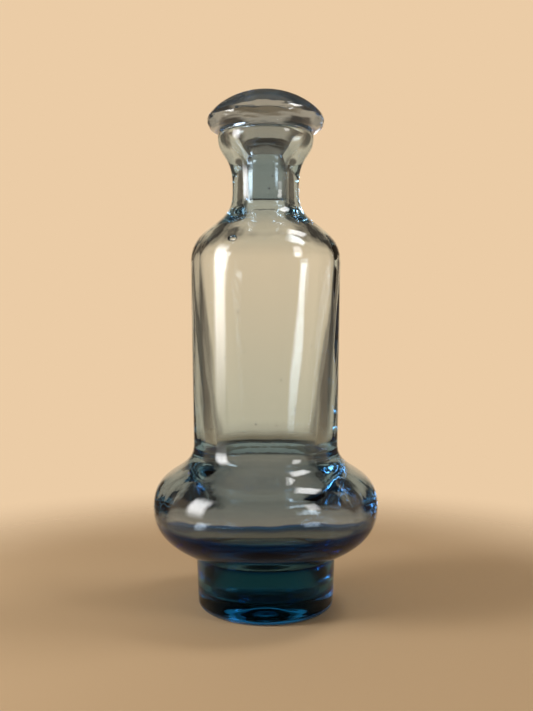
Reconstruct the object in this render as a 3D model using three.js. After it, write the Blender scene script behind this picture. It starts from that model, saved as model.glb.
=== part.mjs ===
// A blown-glass carafe with a loose glass stopper, in millimetres with +Z up.
// The origin is the centre of the flat ring that the foot stands on.
import * as THREE from "three";

// Heights of the bottle's outside, stacked from the table to the lip.
const footHeight = 26.8;
const bulgeLowerHeight = 25.7;
const bulgeUpperHeight = 30.9;
const bodyLength = 91.6;
const shoulderHeight = 34.6;
const neckLength = 4.5;
const cupHeight = 23.5;
const lipHeight = 2.6;

// Radii of the bottle's outside.
const footBaseRadius = 34.4;
const footTopRadius = 35.3;
const bulgeRadius = 57;
const waistRadius = 36.6;
const bodyRadius = 37.9;
const neckRadius = 16.8;
const mouthRadius = 24.2;

// The foot's rounded edge, and the dimple that the pontil leaves under it.
const footEdgeRadius = 4.8;
const dimpleRadius = 13.5;
const dimpleDepth = 3;

// Glass thickness, which grows from the shoulder down to the base.
const baseThickness = 8.4;
const footWall = 7;
const bulgeWall = 4.9;
const bodyWall = 2.5;
const lipThickness = 4.4;

// The inside: throats pinched below and above the bulge, and the bore that the plug fits.
const cavityRise = 6.1;
const lowerThroatRadius = 23.4;
const lowerThroatRise = 2.6;
const innerBulgeDrop = 3.8;
const upperThroatRadius = 24.7;
const upperThroatDrop = 6.1;
const floorCornerRadius = 3.5;
const floorCrown = 1.6;
const boreRadius = 11.4;
const boreRise = 9.4;
const boreDrop = 5.2;

// The stopper: a domed cap that rests on the lip, a cone below it and a barrel-shaped plug.
const capOverhang = 5.2;
const capSkirtHeight = 6.2;
const capDomeHeight = 14.7;
const seatInset = 1;
const coneInset = 1.3;
const plugWaistRadius = 8.4;
const plugWaistRise = 5.1;
const plugBellyDrop = 4.5;
const plugTaper = 0.7;
const plugTaperHeight = 7.6;
const plugEdgeRadius = 2;

// Clearances between the stopper and the bottle.
const seatClearance = 0.3;
const plugClearance = 0.3;

// Directions in the half section, in degrees: 0 is outward and 90 is up.
const outward = 0;
const up = 90;
const inward = 180;
const down = -90;
const creaseSlant = 34;
const bodyDraft = -94.3;
const throatDraft = -97;
const coneSlant = 46;
const coneFlare = 32;
const plugTaperSlant = 84;
const plugWaistSlant = 118;

// How long each curve keeps to its first and last direction, as shares of its straight length.
const dimplePull = [0.47, 0.47];
const bulgeLowerPull = [0.23, 0.51];
const bulgeUpperPull = [0.57, 0.39];
const shoulderPull = [0.49, 0.43];
const cupPull = [0.62, 0.38];
const innerCupPull = [0.31, 0.36];
const innerShoulderPull = [0.25, 0.385];
const innerBodyPull = [0.29, 0.34];
const innerBulgeUpperPull = [0.33, 0.41];
const innerBulgeLowerPull = [0.42, 0.13];
const cavityPull = [0.41, 0.17];
const floorPull = [0.5, 0.5];
const plugTaperPull = [0.33, 0.33];
const plugBarrelPull = [0.4, 0.3];
const conePull = [0.4, 0.35];
const capSkirtPull = [0.21, 0.55];
const capDomePull = [0.1, 0.55];
const quarterRoundPull = 0.5523;

// Steps round the axis, along a long curve and along a small rounding.
const turnSteps = 48;
const sweepSteps = 8;
const roundSteps = 4;

// Stations worked out from the sizes above.
const creaseZ = footHeight;
const widestZ = creaseZ + bulgeLowerHeight;
const waistZ = widestZ + bulgeUpperHeight;
const shoulderZ = waistZ + bodyLength;
const neckZ = shoulderZ + shoulderHeight;
const collarZ = neckZ + neckLength;
const rimZ = collarZ + cupHeight;
const lipZ = rimZ + lipHeight;
const boreTopZ = collarZ + boreRise;
const boreEndZ = neckZ - boreDrop;
const seatZ = lipZ + seatClearance;
const lipMiddle = mouthRadius - lipThickness / 2;
const lipInside = mouthRadius - lipThickness;

function at(radius, height) {
  return new THREE.Vector2(radius, height);
}

function toward(angle, length) {
  const radians = THREE.MathUtils.degToRad(angle);
  return at(Math.cos(radians), Math.sin(radians)).multiplyScalar(length);
}

function straight(from, to) {
  return [from, to];
}

// A smooth curve that leaves one point and reaches the other in the given directions.
function sweep(from, leaving, to, arriving, [leavePull, arrivePull], steps = sweepSteps) {
  const length = from.distanceTo(to);
  const start = from.clone().add(toward(leaving, leavePull * length));
  const end = to.clone().sub(toward(arriving, arrivePull * length));
  return new THREE.CubicBezierCurve(from, start, end, to).getPoints(steps);
}

// A quarter of an ellipse that bends round a corner point.
function rounded(from, corner, to) {
  const start = from.clone().lerp(corner, quarterRoundPull);
  const end = to.clone().lerp(corner, quarterRoundPull);
  return new THREE.CubicBezierCurve(from, start, end, to).getPoints(roundSteps);
}

// Joins runs of points that meet end to end and turns them about the Z axis.
function turned(runs) {
  const outline = runs.flatMap((run, index) => (index ? run.slice(1) : run));
  const geometry = new THREE.LatheGeometry(outline, turnSteps);
  geometry.rotateX(Math.PI / 2);
  return geometry;
}

// The underside and the outer skin, from the middle of the foot to the top of the lip.
function bottleOutside() {
  const dimpleTop = at(0, dimpleDepth);
  const dimpleEdge = at(dimpleRadius, 0);
  const edgeStart = at(footBaseRadius - footEdgeRadius, 0);
  const edgeCorner = at(footBaseRadius, 0);
  const edgeEnd = at(footBaseRadius, footEdgeRadius);
  const crease = at(footTopRadius, creaseZ);
  const widest = at(bulgeRadius, widestZ);
  const waist = at(waistRadius, waistZ);
  const shoulder = at(bodyRadius, shoulderZ);
  const neck = at(neckRadius, neckZ);
  const collar = at(neckRadius, collarZ);
  const rim = at(mouthRadius, rimZ);
  const rimCorner = at(mouthRadius, lipZ);
  const lip = at(lipMiddle, lipZ);
  return [
    sweep(dimpleTop, outward, dimpleEdge, outward, dimplePull, roundSteps),
    straight(dimpleEdge, edgeStart),
    rounded(edgeStart, edgeCorner, edgeEnd),
    straight(edgeEnd, crease),
    sweep(crease, creaseSlant, widest, up, bulgeLowerPull),
    sweep(widest, up, waist, up, bulgeUpperPull),
    straight(waist, shoulder),
    sweep(shoulder, up, neck, up, shoulderPull),
    straight(neck, collar),
    sweep(collar, up, rim, up, cupPull),
    rounded(rim, rimCorner, lip),
  ];
}

// The inner skin, from the top of the lip down to the middle of the floor.
function bottleInside() {
  const cavityRadius = footBaseRadius - footWall;
  const lip = at(lipMiddle, lipZ);
  const lipCorner = at(lipInside, lipZ);
  const lipEnd = at(lipInside, rimZ);
  const boreTop = at(boreRadius, boreTopZ);
  const boreEnd = at(boreRadius, boreEndZ);
  const shoulder = at(bodyRadius - bodyWall, shoulderZ);
  const upperThroat = at(upperThroatRadius, waistZ - upperThroatDrop);
  const widest = at(bulgeRadius - bulgeWall, widestZ - innerBulgeDrop);
  const lowerThroat = at(lowerThroatRadius, creaseZ + lowerThroatRise);
  const cavity = at(cavityRadius, baseThickness + cavityRise);
  const cornerStart = at(cavityRadius, baseThickness + floorCornerRadius);
  const corner = at(cavityRadius, baseThickness);
  const cornerEnd = at(cavityRadius - floorCornerRadius, baseThickness);
  const floorTop = at(0, baseThickness + floorCrown);
  return [
    rounded(lip, lipCorner, lipEnd),
    sweep(lipEnd, down, boreTop, down, innerCupPull),
    straight(boreTop, boreEnd),
    sweep(boreEnd, down, shoulder, down, innerShoulderPull),
    sweep(shoulder, bodyDraft, upperThroat, throatDraft, innerBodyPull),
    sweep(upperThroat, throatDraft, widest, down, innerBulgeUpperPull),
    sweep(widest, down, lowerThroat, down, innerBulgeLowerPull),
    sweep(lowerThroat, down, cavity, down, cavityPull, roundSteps),
    straight(cavity, cornerStart),
    rounded(cornerStart, corner, cornerEnd),
    sweep(cornerEnd, inward, floorTop, inward, floorPull, roundSteps),
  ];
}

// The stopper's skin, from the middle of the plug's end to the top of the dome.
function stopperSkin() {
  const plugRadius = boreRadius - plugClearance;
  const plugEndRadius = plugRadius - plugTaper;
  const capRadius = mouthRadius + capOverhang;
  const skirtZ = seatZ + capSkirtHeight;
  const plugEnd = at(0, boreEndZ);
  const edgeStart = at(plugEndRadius - plugEdgeRadius, boreEndZ);
  const edgeCorner = at(plugEndRadius, boreEndZ);
  const edgeEnd = at(plugEndRadius, boreEndZ + plugEdgeRadius);
  const bellyLow = at(plugRadius, boreEndZ + plugTaperHeight);
  const bellyTop = at(plugRadius, boreTopZ - plugBellyDrop);
  const plugWaist = at(plugWaistRadius, boreTopZ + plugWaistRise);
  const coneTop = at(lipInside - coneInset, seatZ);
  const seatEdge = at(mouthRadius - seatInset, seatZ);
  const skirt = at(capRadius, skirtZ);
  const domeTop = at(0, skirtZ + capDomeHeight);
  return [
    straight(plugEnd, edgeStart),
    rounded(edgeStart, edgeCorner, edgeEnd),
    sweep(edgeEnd, plugTaperSlant, bellyLow, up, plugTaperPull, roundSteps),
    straight(bellyLow, bellyTop),
    sweep(bellyTop, up, plugWaist, plugWaistSlant, plugBarrelPull),
    sweep(plugWaist, coneSlant, coneTop, coneFlare, conePull),
    straight(coneTop, seatEdge),
    sweep(seatEdge, outward, skirt, up, capSkirtPull),
    sweep(skirt, up, domeTop, inward, capDomePull),
  ];
}

// Smoky blue glass, darker in the bottle than in the stopper.
function glass(color, opacity) {
  return new THREE.MeshStandardMaterial({
    color,
    opacity,
    transparent: true,
    roughness: 0.05,
    metalness: 0,
  });
}

function piece(name, runs, material) {
  const mesh = new THREE.Mesh(turned(runs), material);
  mesh.name = name;
  return mesh;
}

const carafe = new THREE.Group();
carafe.name = "carafe";
carafe.add(
  piece("bottle", [...bottleOutside(), ...bottleInside()], glass(0x5c6f80, 0.45)),
  piece("stopper", stopperSkin(), glass(0x8d938f, 0.4)),
);

export default carafe;
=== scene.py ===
import math
import bpy
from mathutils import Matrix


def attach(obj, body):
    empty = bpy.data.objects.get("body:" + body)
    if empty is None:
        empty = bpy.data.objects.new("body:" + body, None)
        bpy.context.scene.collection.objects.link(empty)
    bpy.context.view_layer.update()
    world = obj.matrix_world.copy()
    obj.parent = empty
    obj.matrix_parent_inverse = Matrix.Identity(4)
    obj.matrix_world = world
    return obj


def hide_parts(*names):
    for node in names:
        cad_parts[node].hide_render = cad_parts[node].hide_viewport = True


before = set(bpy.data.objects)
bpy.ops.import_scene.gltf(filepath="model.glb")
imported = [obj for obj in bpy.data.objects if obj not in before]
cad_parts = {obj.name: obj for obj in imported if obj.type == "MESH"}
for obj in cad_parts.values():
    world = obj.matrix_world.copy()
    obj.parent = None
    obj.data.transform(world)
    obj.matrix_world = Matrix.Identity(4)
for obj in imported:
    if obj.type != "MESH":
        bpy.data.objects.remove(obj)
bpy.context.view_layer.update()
scene = bpy.context.scene
scene.view_settings.view_transform = "Standard"
bpy.ops.object.select_all(action="DESELECT")
print("frame loaded with", ", ".join(sorted(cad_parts)))

mm = 0.001  # sizes below are in millimetres, Blender is in metres
outward, up, inward, down = 0, 90, 180, -90  # directions in a half section, in degrees
quarterRound = 0.5523  # handle length that makes a Bezier arc a quarter ellipse
weldGap = 0.01  # points of a turned skin that lie closer than this are one
softStep = {"interpolation_type": "SMOOTHSTEP"}  # settings that several nodes share
colourMix = {"data_type": "RGBA"}


# sRGB hex to the linear colour that shaders take
def hexColour(text):
    channels = [int(text[i:i + 2], 16) / 255 for i in (1, 3, 5)]
    linear = [c / 12.92 if c <= 0.04045 else ((c + 0.055) / 1.055) ** 2.4 for c in channels]
    return (*linear, 1.0)


# one node with its settings and its inputs, each a link or a value; i6 stands for input number 6
def addNode(tree, kind, settings=None, **inputs):
    node = tree.nodes.new(kind)
    for name, value in (settings or {}).items():
        setattr(node, name, value)
    for name, value in inputs.items():
        key = int(name[1:]) if name[1:].isdigit() else name.replace("_", " ")
        socket = node.inputs[key]
        if isinstance(value, bpy.types.NodeSocket):
            tree.links.new(value, socket)
        else:
            socket.default_value = value
    return node


def newMaterial(name):
    material = bpy.data.materials.new(name)
    material.use_nodes = True
    material.node_tree.nodes.clear()
    return material, material.node_tree


# half section drawing: knots with handles, radius and height in mm
def startSection(radius, height):
    return [{"at": (radius, height), "left": (radius, height), "right": (radius, height)}]


def addKnot(section, leaveHandle, arriveHandle, to):
    section[-1]["right"] = leaveHandle
    section.append({"at": to, "left": arriveHandle, "right": to})


def between(a, b, share):
    return (a[0] + (b[0] - a[0]) * share, a[1] + (b[1] - a[1]) * share)


def lineTo(section, radius, height):
    start, to = section[-1]["at"], (radius, height)
    addKnot(section, between(start, to, 1 / 3), between(start, to, 2 / 3), to)


def roundTo(section, corner, radius, height):
    start, to = section[-1]["at"], (radius, height)
    addKnot(section, between(start, corner, quarterRound), between(to, corner, quarterRound), to)


# leaves and arrives in the given directions, held for the pulls' shares of the straight length
def sweepTo(section, leaving, radius, height, arriving, pulls):
    start = section[-1]["at"]
    length = math.hypot(radius - start[0], height - start[1])
    leave, arrive = math.radians(leaving), math.radians(arriving)
    leaveHandle = (start[0] + math.cos(leave) * pulls[0] * length,
                   start[1] + math.sin(leave) * pulls[0] * length)
    arriveHandle = (radius - math.cos(arrive) * pulls[1] * length,
                    height - math.sin(arrive) * pulls[1] * length)
    addKnot(section, leaveHandle, arriveHandle, (radius, height))


# draws the section as a Bezier curve and spins it round the axis
def turnSection(name, section, curveSteps, turnSteps, smoothAngle):
    bpy.ops.object.select_all(action="DESELECT")
    bpy.ops.curve.primitive_bezier_curve_add(location=(0, 0, 0))
    drawing = bpy.context.object
    drawing.name = name
    drawing.data.dimensions = "3D"
    spline = drawing.data.splines[0]
    spline.resolution_u = curveSteps
    spline.bezier_points.add(len(section) - len(spline.bezier_points))
    for point, knot in zip(spline.bezier_points, section):
        point.handle_left_type = point.handle_right_type = "FREE"
        point.co = (knot["at"][0] * mm, 0, knot["at"][1] * mm)
        point.handle_left = (knot["left"][0] * mm, 0, knot["left"][1] * mm)
        point.handle_right = (knot["right"][0] * mm, 0, knot["right"][1] * mm)
    bpy.ops.object.convert(target="MESH")
    bpy.ops.object.mode_set(mode="EDIT")
    bpy.ops.mesh.select_all(action="SELECT")
    bpy.ops.mesh.spin(steps=turnSteps, angle=math.tau, center=(0, 0, 0), axis=(0, 0, 1))
    bpy.ops.mesh.select_all(action="SELECT")
    bpy.ops.mesh.remove_doubles(threshold=weldGap * mm)
    bpy.ops.mesh.normals_make_consistent(inside=False)
    bpy.ops.object.mode_set(mode="OBJECT")
    piece = bpy.context.object
    piece.name = piece.data.name = name
    bpy.ops.object.shade_smooth_by_angle(angle=math.radians(smoothAngle))
    return piece


# the bottle: one skin from the dimple under the foot, up the outside, over the lip and down the inside
bottle = {
    "dimple": (13.5, 3), "dimplePull": (0.47, 0.47),  # radius and depth, then radius and height
    "footBase": 34.4, "footEdge": 4.8, "footTop": (35.3, 26.8),
    "creaseSlant": 34, "widest": (57, 52.5), "bulgeLowerPull": (0.23, 0.51),
    "waist": (36.6, 83.4), "bulgeUpperPull": (0.57, 0.39),
    "shoulder": (37.9, 175), "neck": (16.8, 209.6), "shoulderPull": (0.49, 0.43),
    "collar": 214.1, "rim": (24.2, 237.6), "cupPull": (0.62, 0.38),
    "lipHeight": 2.6, "lipThickness": 4.4,
    "boreRadius": 11.4, "boreTop": 223.5, "boreEnd": 204.4, "innerCupPull": (0.31, 0.36),
    "innerShoulder": (35.4, 175), "innerShoulderPull": (0.25, 0.385),
    "bodyDraft": -94.3, "upperThroat": (24.7, 77.3), "throatDraft": -97, "innerBodyPull": (0.29, 0.34),
    "innerWidest": (52.1, 48.7), "innerBulgeUpperPull": (0.33, 0.41),
    "lowerThroat": (23.4, 29.4), "innerBulgeLowerPull": (0.42, 0.13),
    "cavity": (27.4, 14.5), "cavityPull": (0.41, 0.17), "baseThickness": 8.4,
    "floorCorner": 3.5, "floorCrown": 1.6, "floorPull": (0.5, 0.5),
    "curveSteps": 14, "turnSteps": 160, "smoothAngle": 40,
}


def makeBottle(b):
    rimRadius, rimLevel = b["rim"]
    lipTop = rimLevel + b["lipHeight"]
    lipMiddle = rimRadius - b["lipThickness"] / 2
    lipInside = rimRadius - b["lipThickness"]
    cavityRadius = b["cavity"][0]
    floorLevel = b["baseThickness"]
    s = startSection(0, b["dimple"][1])
    sweepTo(s, outward, b["dimple"][0], 0, outward, b["dimplePull"])
    lineTo(s, b["footBase"] - b["footEdge"], 0)
    roundTo(s, (b["footBase"], 0), b["footBase"], b["footEdge"])
    lineTo(s, *b["footTop"])
    sweepTo(s, b["creaseSlant"], *b["widest"], up, b["bulgeLowerPull"])
    sweepTo(s, up, *b["waist"], up, b["bulgeUpperPull"])
    lineTo(s, *b["shoulder"])
    sweepTo(s, up, *b["neck"], up, b["shoulderPull"])
    lineTo(s, b["neck"][0], b["collar"])
    sweepTo(s, up, *b["rim"], up, b["cupPull"])
    roundTo(s, (rimRadius, lipTop), lipMiddle, lipTop)
    roundTo(s, (lipInside, lipTop), lipInside, rimLevel)
    sweepTo(s, down, b["boreRadius"], b["boreTop"], down, b["innerCupPull"])
    lineTo(s, b["boreRadius"], b["boreEnd"])
    sweepTo(s, down, *b["innerShoulder"], down, b["innerShoulderPull"])
    sweepTo(s, b["bodyDraft"], *b["upperThroat"], b["throatDraft"], b["innerBodyPull"])
    sweepTo(s, b["throatDraft"], *b["innerWidest"], down, b["innerBulgeUpperPull"])
    sweepTo(s, down, *b["lowerThroat"], down, b["innerBulgeLowerPull"])
    sweepTo(s, down, *b["cavity"], down, b["cavityPull"])
    lineTo(s, cavityRadius, floorLevel + b["floorCorner"])
    roundTo(s, (cavityRadius, floorLevel), cavityRadius - b["floorCorner"], floorLevel)
    sweepTo(s, inward, 0, floorLevel + b["floorCrown"], inward, b["floorPull"])
    return turnSection("blown_bottle", s, b["curveSteps"], b["turnSteps"], b["smoothAngle"])


# the stopper: solid, from the plug's end up the barrel and cone and over the cap
stopper = {
    "plugEnd": (10.4, 204.4), "plugEdge": 2, "plugTaperSlant": 84, "plugTaperPull": (0.33, 0.33),
    "plugRadius": 11.1, "bellyLow": 212, "bellyTop": 219,
    "plugWaist": (8.4, 228.6), "waistSlant": 118, "plugBarrelPull": (0.4, 0.3),
    "coneSlant": 46, "coneFlare": 32, "coneTop": (18.5, 240.5), "conePull": (0.4, 0.35),
    "seatEdge": 23.2, "skirt": (29.4, 246.7), "capSkirtPull": (0.21, 0.55),
    "domeTop": 261.4, "capDomePull": (0.1, 0.55),
    "curveSteps": 26, "turnSteps": 160, "smoothAngle": 40,
}


def makeStopper(p):
    endRadius, endLevel = p["plugEnd"]
    s = startSection(0, endLevel)
    lineTo(s, endRadius - p["plugEdge"], endLevel)
    roundTo(s, (endRadius, endLevel), endRadius, endLevel + p["plugEdge"])
    sweepTo(s, p["plugTaperSlant"], p["plugRadius"], p["bellyLow"], up, p["plugTaperPull"])
    lineTo(s, p["plugRadius"], p["bellyTop"])
    sweepTo(s, up, *p["plugWaist"], p["waistSlant"], p["plugBarrelPull"])
    sweepTo(s, p["coneSlant"], *p["coneTop"], p["coneFlare"], p["conePull"])
    lineTo(s, p["seatEdge"], p["coneTop"][1])
    sweepTo(s, outward, *p["skirt"], up, p["capSkirtPull"])
    sweepTo(s, up, 0, p["domeTop"], inward, p["capDomePull"])
    return turnSection("glass_stopper", s, p["curveSteps"], p["turnSteps"], p["smoothAngle"])


# how far the skin at a point looks away from the axis: 1 straight out, -1 straight in
def looksOut(point):
    reach = math.hypot(point.co.x, point.co.y)
    return (point.normal.x * point.co.x + point.normal.y * point.co.y) / max(reach, mm)


def partWay(value, start, end):
    return min(max((value - start) / (end - start), 0), 1)


# uneven skin that hand work leaves: inside, drawn out up the body and broad in the bulge,
# and outside, level rings round the skirt of the cap; facing is 1 for the outside and -1 for the inside,
# and from and to are the heights between which it comes and goes
ripples = {"facing": -1, "width": 11, "stretch": 7, "depth": 0.5, "from": (20, 34), "to": (180, 194)}
swirls = {"facing": -1, "width": 17, "stretch": 0.5, "depth": 1.1, "from": (28, 36), "to": (60, 74)}
capRings = {"facing": 1, "width": 10, "stretch": 0.2, "depth": 0.9, "from": (240.6, 242), "to": (247, 253)}


def rippleSkin(piece, r):
    skin = piece.vertex_groups.new(name="uneven skin")
    for v in piece.data.vertices:
        level = v.co.z / mm
        rise = partWay(level, *r["from"])
        fall = 1 - partWay(level, *r["to"])
        skin.add([v.index], max(r["facing"] * looksOut(v), 0) * rise * fall, "REPLACE")
    bpy.ops.object.select_all(action="DESELECT")
    bpy.ops.object.empty_add(location=(0, 0, 0))
    grain = bpy.context.object  # carries the scale of the ripples while they are pressed in
    grain.scale = (r["width"] * mm, r["width"] * mm, r["width"] * r["stretch"] * mm)
    cloud = bpy.data.textures.new("drawn ripples", "CLOUDS")
    cloud.noise_scale = 1.0
    cloud.noise_depth = 1
    bpy.ops.object.select_all(action="DESELECT")
    piece.select_set(True)
    bpy.context.view_layer.objects.active = piece
    bpy.ops.object.modifier_add(type="DISPLACE")
    press = piece.modifiers[-1]
    press.texture = cloud
    press.texture_coords = "OBJECT"
    press.texture_coords_object = grain
    press.direction = "NORMAL"
    press.vertex_group = skin.name
    press.strength = r["depth"] * mm
    bpy.context.view_layer.update()
    bpy.ops.object.modifier_apply(modifier=press.name)
    piece.vertex_groups.clear()
    bpy.data.objects.remove(grain)


# marks the skin that looks at the axis, which has its own colours, without the outer skin's painted crease
# line and navy band
def markInside(piece):
    mark = piece.data.attributes.new("inside", "FLOAT", "POINT")
    mark.data.foreach_set("value", [float(looksOut(v) < 0) for v in piece.data.vertices])


# seeds: small air bubbles caught in the glass, as closed voids whose faces look into the air
# degrees right of the front, radius and height in mm, then size across, through and up
bottleSeeds = [
    (-27, 34.1, 184.6, (5.2, 1.5, 3.4)), (-21, 35.4, 150, (0.6, 0.6, 1.2)), (-34, 33.4, 128, (0.5, 0.5, 1)),
    (12, 34.2, 118, (0.5, 0.5, 1.1)), (24, 32.8, 104, (0.7, 0.6, 1.2)), (-8, 32.2, 97, (0.6, 0.6, 1)),
    (38, 33.6, 134, (0.5, 0.5, 1)), (5, 31.6, 88, (0.8, 0.7, 1)), (-46, 32.6, 109, (0.6, 0.6, 1.3)),
    (140, 33.4, 112, (0.7, 0.6, 1.4)), (200, 33.8, 126, (0.5, 0.5, 1.1)), (96, 32.4, 98, (0.6, 0.6, 1.2)),
    (250, 32.2, 92, (0.7, 0.6, 1.1)), (310, 34.4, 143, (0.5, 0.5, 1.1)), (170, 31.4, 86, (0.6, 0.6, 1)),
    (-50, 53, 44, (0.9, 0.7, 0.8)), (-35, 50.4, 40, (0.8, 0.8, 0.8)), (-18, 45.6, 36.5, (1, 0.8, 0.7)),
    (-4, 50.4, 40, (0.7, 0.7, 0.7)), (9, 53, 44, (1, 0.8, 0.8)), (22, 45.2, 36, (0.8, 0.8, 0.7)),
    (33, 50.6, 40.2, (1.1, 0.8, 0.8)), (48, 53, 44.2, (0.8, 0.7, 0.8)), (64, 50, 39.8, (0.9, 0.8, 0.8)),
    (120, 50.4, 40, (0.9, 0.8, 0.8)), (150, 53, 44, (0.8, 0.7, 0.8)), (185, 45.6, 36.5, (1, 0.8, 0.7)),
    (215, 50.4, 40, (0.8, 0.8, 0.8)), (250, 53, 44, (0.9, 0.7, 0.8)), (285, 45.2, 36, (0.8, 0.8, 0.7)),
    (-40, 30.6, 18, (0.7, 0.7, 0.8)), (-15, 30.8, 12.5, (0.9, 0.8, 0.7)), (20, 30.6, 20, (0.7, 0.7, 0.9)),
    (45, 30.8, 14, (0.8, 0.7, 0.7)), (-30, 18, 5, (1.2, 1, 0.8)), (25, 22, 4.6, (0.9, 0.9, 0.7)),
]
stopperSeeds = [
    (-30, 7.2, 236.6, (3, 1.2, 1.1)), (12, 6.4, 211.4, (0.9, 0.7, 0.9)), (160, 5.2, 219, (0.6, 0.6, 0.8)),
]
seedBall = {"segments": 20, "ring_count": 12, "radius": 0.5}  # one across, then scaled to each seed


def addSeeds(piece, seeds):
    shells = []
    for turn, radius, level, size in seeds:
        angle = math.radians(turn)
        bpy.ops.object.select_all(action="DESELECT")
        bpy.ops.mesh.primitive_uv_sphere_add(location=(0, 0, 0), **seedBall)
        shell = bpy.context.object
        shell.scale = [s * mm for s in size]
        shell.rotation_euler = (0, 0, angle)
        shell.location = (math.sin(angle) * radius * mm, -math.cos(angle) * radius * mm, level * mm)
        bpy.ops.object.transform_apply(location=True, rotation=True, scale=True)
        bpy.ops.object.mode_set(mode="EDIT")
        bpy.ops.mesh.select_all(action="SELECT")
        bpy.ops.mesh.normals_make_consistent(inside=True)
        bpy.ops.object.mode_set(mode="OBJECT")
        bpy.ops.object.shade_smooth()
        shells.append(shell)
    bpy.ops.object.select_all(action="DESELECT")
    for shell in shells:
        shell.select_set(True)
    piece.select_set(True)
    bpy.context.view_layer.objects.active = piece
    bpy.ops.object.join()
    print(piece.name, "holds", len(seeds), "seeds")


# blown soda-lime glass, tinted through its mass: pale in a thin wall, deep blue where light runs far in it,
# with painted shade in the skins' colour toward the foot, reflections darkened and turned blue below the
# bulge as painted shade, and faint drawn-out waves
bottleGlass = {
    "ior": 1.52, "roughness": 0.0, "absorb": (20, 11, 6),  # red, green and blue per metre
    "tint": [  # height in mm and the colour of the outer skin there: the glass's own colour, with painted shade below the waist
        # base and foot: their own blue deepened by painted shade; 26.2 to 27.4 mm: a dark line at the crease,
        # painted shade; 36 to 45 mm: a navy band round the underside of the bulge, painted shade; 46.5 to 78
        # mm: the bulge's smoke deepened by painted shade
        (0, "#1c88d0"), (9, "#1c88d0"), (15, "#4d7f8e"), (25, "#4d7f8e"), (26.2, "#123c70"),
        (27.4, "#123c70"), (28.4, "#a4bece"), (33, "#80a8c4"), (36, "#053480"), (45, "#053480"),
        (46.5, "#bcc4ce"), (60, "#c0c7cf"), (78, "#c4cbd1"), (89, "#f9fdff"), (190, "#f9fdff"),
        (206, "#dce8f0"), (222, "#dce8f0"), (240, "#eef4f6"),
    ],
    # the inner skin: the same base and foot blue and bulge grey deepened by painted shade, without the crease
    # line and navy band
    "innerTintAndShade": [
        (0, "#1c88d0"), (9, "#1c88d0"), (15, "#4d7f8e"), (25, "#4d7f8e"), (29, "#a8c2ce"), (34, "#c6cbd0"),
        (60, "#c0c7cf"), (78, "#c4cbd1"), (89, "#f9fdff"), (190, "#f9fdff"), (206, "#dce8f0"),
        (222, "#dce8f0"), (240, "#eef4f6"),
    ],
    "shadedMirrorTo": (43, 49),  # heights between which reflections turn from painted shade, darkened to the glass's colour, to plain
    "waveWidth": 5, "waveHeight": 0.06, "waveDraw": 0.14,  # the smaller the draw, the longer the waves run up
}
# pressed glass, nearly clear, with a breath of smoke
stopperGlass = {
    "ior": 1.52, "roughness": 0.0, "absorb": (9, 6, 3),
    "tint": [
        (204, "#d6dde2"), (226, "#d6dde2"), (232, "#cfd2d4"), (240, "#cfd2d4"), (246, "#d8d9d8"),
        (260, "#e0deda"),
    ],
    "waveWidth": 4, "waveHeight": 0.1, "waveDraw": 0.14,
}
rampTop = 260  # height in mm at the end of the colour ramps


def tintedGlass(name, g):
    material, tree = newMaterial(name)
    place = addNode(tree, "ShaderNodeTexCoord")
    height = addNode(tree, "ShaderNodeSeparateXYZ", Vector=place.outputs["Object"])
    share = addNode(tree, "ShaderNodeMapRange", Value=height.outputs["Z"], From_Max=rampTop * mm)
    skins = []
    for tints in (g["tint"], g.get("innerTintAndShade", g["tint"])):
        ramp = addNode(tree, "ShaderNodeValToRGB", Fac=share.outputs[0])
        stops = ramp.color_ramp.elements
        for i, (level, colour) in enumerate(tints):
            stop = stops[i] if i < 2 else stops.new(level / rampTop)  # a new ramp has two stops
            stop.position = level / rampTop
            stop.color = hexColour(colour)
        skins.append(ramp.outputs[0])
    inside = addNode(tree, "ShaderNodeAttribute", {"attribute_name": "inside"})
    # each skin's colour by height: the glass's own tint, with painted shade toward the foot and round the
    # bulge's underside
    tint = addNode(tree, "ShaderNodeMix", colourMix, i0=inside.outputs["Fac"], i6=skins[0], i7=skins[1])
    # reflections stay plain white, except below the bulge, where they take the skin's colour as painted shade
    # that darkens and blues them
    mirrorShade = hexColour("#ffffff")
    if "shadedMirrorTo" in g:
        shadeEnd, plainStart = g["shadedMirrorTo"]
        plain = addNode(tree, "ShaderNodeMapRange", softStep, Value=height.outputs["Z"],
                        From_Min=shadeEnd * mm, From_Max=plainStart * mm)
        shadedMirror = addNode(tree, "ShaderNodeMix", colourMix, i0=plain.outputs[0],
                         i6=tint.outputs[2], i7=mirrorShade)
        mirrorShade = shadedMirror.outputs[2]
    drawn = addNode(tree, "ShaderNodeMapping", Vector=place.outputs["Object"], Scale=(1, 1, g["waveDraw"]))
    waves = addNode(tree, "ShaderNodeTexNoise", Vector=drawn.outputs[0],
                    Scale=1 / (g["waveWidth"] * mm), Detail=1.0)
    bump = addNode(tree, "ShaderNodeBump", Height=waves.outputs[0], Strength=1.0,
                   Distance=g["waveHeight"] * mm)
    shader = addNode(tree, "ShaderNodeBsdfPrincipled", Base_Color=tint.outputs[2], Roughness=g["roughness"],
                     IOR=g["ior"], Transmission_Weight=1.0, Specular_Tint=mirrorShade,
                     Normal=bump.outputs[0])
    density = max(g["absorb"])
    clear = [1 - a / density for a in g["absorb"]]
    mass = addNode(tree, "ShaderNodeVolumeAbsorption", Color=(*clear, 1), Density=density)
    addNode(tree, "ShaderNodeOutputMaterial", Surface=shader.outputs[0], Volume=mass.outputs[0])
    return material


def dress(piece, material, body, node):
    piece.data.materials.clear()
    piece.data.materials.append(material)
    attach(piece, body)
    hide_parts(node)
    print(piece.name, "has", len(piece.data.polygons), "faces")


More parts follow.
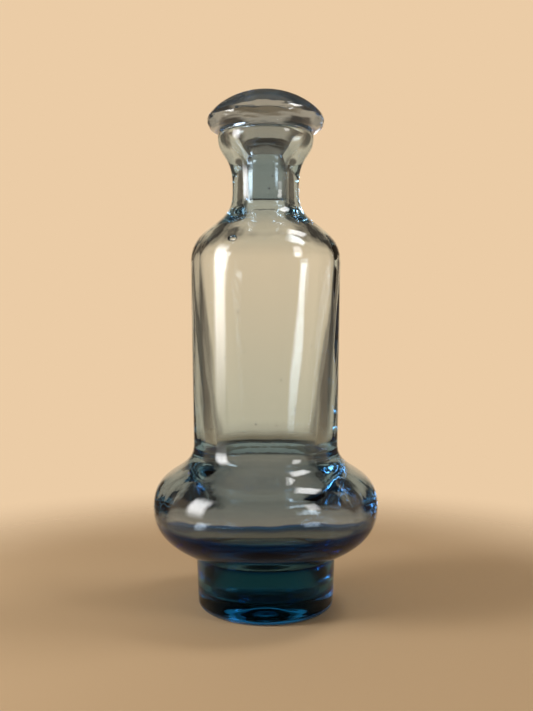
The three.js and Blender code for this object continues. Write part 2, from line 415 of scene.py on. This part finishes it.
blownBottle = makeBottle(bottle)
rippleSkin(blownBottle, ripples)
rippleSkin(blownBottle, swirls)
markInside(blownBottle)
addSeeds(blownBottle, bottleSeeds)
blownGlass = tintedGlass("smoky blue blown glass", bottleGlass)
dress(blownBottle, blownGlass, "bottle", "bottle")

glassStopper = makeStopper(stopper)
rippleSkin(glassStopper, capRings)
addSeeds(glassStopper, stopperSeeds)
pressedGlass = tintedGlass("smoky clear pressed glass", stopperGlass)
dress(glassStopper, pressedGlass, "stopper", "stopper")


# a pale floor that melts into pale walls of light; the two corners behind and the side in front are dimmer,
# and so is the ceiling round its paler middle
studio = {
    "floorColour": "#c8aa83", "floorRoughness": 0.9, "floorRadius": 2500,
    "floorSteps": 24, "floorTurns": 96, "floorSmooth": 60,
    "fadeFrom": 150, "fadeTo": 340,  # mm from the axis over which the floor gives way to the walls' light
    "wallColour": "#ebcca6", "cornerColour": "#5e5244", "frontColour": "#9a8870",
    "ceilingColour": "#463d34", "zenithColour": "#a8957c",
    "cornerFrom": 0.55, "cornerTo": 0.85,  # 0 at the middle of a wall and 1 in the corner
    "frontFull": -0.75, "frontNone": -0.25,  # share of the way back, on the unit sphere
    "ceilingFrom": 0.33, "ceilingTo": 0.5, "zenithFrom": 0.82, "zenithTo": 0.94,  # share of the way up
}


def makeFloor(st):
    s = startSection(0, 0)
    lineTo(s, st["floorRadius"], 0)
    floor = turnSection("studio_floor", s, st["floorSteps"], st["floorTurns"], st["floorSmooth"])
    material, tree = newMaterial("matt painted floor")  # even and without shine
    place = addNode(tree, "ShaderNodeTexCoord")
    reach = addNode(tree, "ShaderNodeVectorMath", {"operation": "LENGTH"}, Vector=place.outputs["Object"])
    fade = addNode(tree, "ShaderNodeMapRange", softStep, Value=reach.outputs["Value"],
                   From_Min=st["fadeFrom"] * mm, From_Max=st["fadeTo"] * mm)
    paint = addNode(tree, "ShaderNodeBsdfPrincipled", Base_Color=hexColour(st["floorColour"]),
                    Roughness=st["floorRoughness"])
    away = addNode(tree, "ShaderNodeBsdfTransparent")
    mix = addNode(tree, "ShaderNodeMixShader", i0=fade.outputs[0], i1=paint.outputs[0], i2=away.outputs[0])
    addNode(tree, "ShaderNodeOutputMaterial", Surface=mix.outputs[0])
    floor.data.materials.append(material)


def makeRoom(st):
    world = bpy.data.worlds.new("soft room")
    scene.world = world
    world.use_nodes = True
    tree = world.node_tree
    tree.nodes.clear()
    place = addNode(tree, "ShaderNodeTexCoord")
    way = addNode(tree, "ShaderNodeSeparateXYZ", Vector=place.outputs["Generated"])
    behind = addNode(tree, "ShaderNodeMath", {"operation": "MAXIMUM"}, i0=way.outputs["Y"], i1=0.0)
    cross = addNode(tree, "ShaderNodeMath", {"operation": "MULTIPLY"},
                    i0=way.outputs["X"], i1=behind.outputs[0])
    slant = addNode(tree, "ShaderNodeMath", {"operation": "ABSOLUTE"}, i0=cross.outputs[0])  # 0.5 in a corner
    corner = addNode(tree, "ShaderNodeMapRange", softStep, Value=slant.outputs[0],
                     From_Min=st["cornerFrom"] / 2, From_Max=st["cornerTo"] / 2)
    front = addNode(tree, "ShaderNodeMapRange", softStep, Value=way.outputs["Y"],
                    From_Min=st["frontFull"], From_Max=st["frontNone"], To_Min=1.0, To_Max=0.0)
    overhead = addNode(tree, "ShaderNodeMapRange", softStep, Value=way.outputs["Z"],
                       From_Min=st["ceilingFrom"], From_Max=st["ceilingTo"])
    highest = addNode(tree, "ShaderNodeMapRange", softStep, Value=way.outputs["Z"],
                      From_Min=st["zenithFrom"], From_Max=st["zenithTo"])
    panels = addNode(tree, "ShaderNodeMix", colourMix, i0=front.outputs[0],
                     i6=hexColour(st["wallColour"]), i7=hexColour(st["frontColour"]))
    walls = addNode(tree, "ShaderNodeMix", colourMix, i0=corner.outputs[0],
                    i6=panels.outputs[2], i7=hexColour(st["cornerColour"]))
    ceiling = addNode(tree, "ShaderNodeMix", colourMix, i0=highest.outputs[0],
                      i6=hexColour(st["ceilingColour"]), i7=hexColour(st["zenithColour"]))
    room = addNode(tree, "ShaderNodeMix", colourMix, i0=overhead.outputs[0],
                   i6=walls.outputs[2], i7=ceiling.outputs[2])
    glow = addNode(tree, "ShaderNodeBackground", Color=room.outputs[2], Strength=1.0)
    addNode(tree, "ShaderNodeOutputWorld", Surface=glow.outputs[0])


makeFloor(studio)
makeRoom(studio)

# softboxes: azimuth is right of the camera as seen from the bottle, level is the middle's height in mm,
# and hard is the share of the cloth that glows in full before it fades to the edge
softboxes = [
    {"name": "tall left box", "azimuth": -72, "away": 750, "level": 330, "wide": 380, "tall": 760,
     "radiance": 15, "hardWide": 0.4, "hardTall": 0.2},
    {"name": "right box", "azimuth": 50, "away": 800, "level": 480, "wide": 260, "tall": 400,
     "radiance": 9, "hardWide": 0.4, "hardTall": 0.4},
    {"name": "top box", "azimuth": 98, "away": 400, "level": 900, "wide": 320, "tall": 320,
     "radiance": 11, "hardWide": 0.5, "hardTall": 0.5},
]
aimLevel = 120  # height on the axis that the boxes face
clothHalf = 0.5  # the cloth runs from 0 to 1 both ways


def makeSoftbox(box):
    turn = math.radians(box["azimuth"])
    tilt = math.atan2(box["away"], box["level"] - aimLevel)
    spot = (math.sin(turn) * box["away"] * mm, -math.cos(turn) * box["away"] * mm, box["level"] * mm)
    bpy.ops.object.select_all(action="DESELECT")
    bpy.ops.object.light_add(type="AREA", location=spot, rotation=(tilt, 0, turn))
    lamp = bpy.context.object
    lamp.name = lamp.data.name = box["name"]
    lamp.visible_camera = False
    lamp.data.shape = "RECTANGLE"
    lamp.data.size = box["wide"] * mm
    lamp.data.size_y = box["tall"] * mm
    lamp.data.energy = box["radiance"] * math.pi * lamp.data.size * lamp.data.size_y
    lamp.data.use_nodes = True
    tree = lamp.data.node_tree
    tree.nodes.clear()
    cloth = addNode(tree, "ShaderNodeNewGeometry")
    centred = addNode(tree, "ShaderNodeVectorMath", {"operation": "SUBTRACT"},
                      i0=cloth.outputs["Parametric"], i1=(clothHalf, clothHalf, 0))
    reach = addNode(tree, "ShaderNodeVectorMath", {"operation": "ABSOLUTE"}, i0=centred.outputs[0])
    sides = addNode(tree, "ShaderNodeSeparateXYZ", Vector=reach.outputs[0])
    fades = []
    for axis, hard in (("X", "hardWide"), ("Y", "hardTall")):
        fade = addNode(tree, "ShaderNodeMapRange", softStep, Value=sides.outputs[axis],
                       From_Min=clothHalf * box[hard], From_Max=clothHalf, To_Min=1.0, To_Max=0.0)
        fades.append(fade.outputs[0])
    soft = addNode(tree, "ShaderNodeMath", {"operation": "MULTIPLY"}, i0=fades[0], i1=fades[1])
    glow = addNode(tree, "ShaderNodeEmission", Strength=soft.outputs[0])
    addNode(tree, "ShaderNodeOutputLight", Surface=glow.outputs[0])


for box in softboxes:
    makeSoftbox(box)
print("floor, walls and", len(softboxes), "softboxes ready")

# camera at the photograph's place, with the long side of the frame upright
view = {
    "aside": 0.4, "back": 454, "level": 144.8, "pitchDown": 2.08,
    "lens": 45.24, "sensor": 36, "clipStart": 10,
}
bpy.ops.object.select_all(action="DESELECT")
bpy.ops.object.camera_add(location=(view["aside"] * mm, -view["back"] * mm, view["level"] * mm),
                          rotation=(math.radians(90 - view["pitchDown"]), 0, 0))
camera = bpy.context.object
camera.data.lens = view["lens"]
camera.data.sensor_width = view["sensor"]
camera.data.clip_start = view["clipStart"] * mm
scene.camera = camera

# light is followed far enough to pass both walls of bottle and stopper
scene.cycles.max_bounces = 32
scene.cycles.transmission_bounces = 32
scene.cycles.glossy_bounces = 16
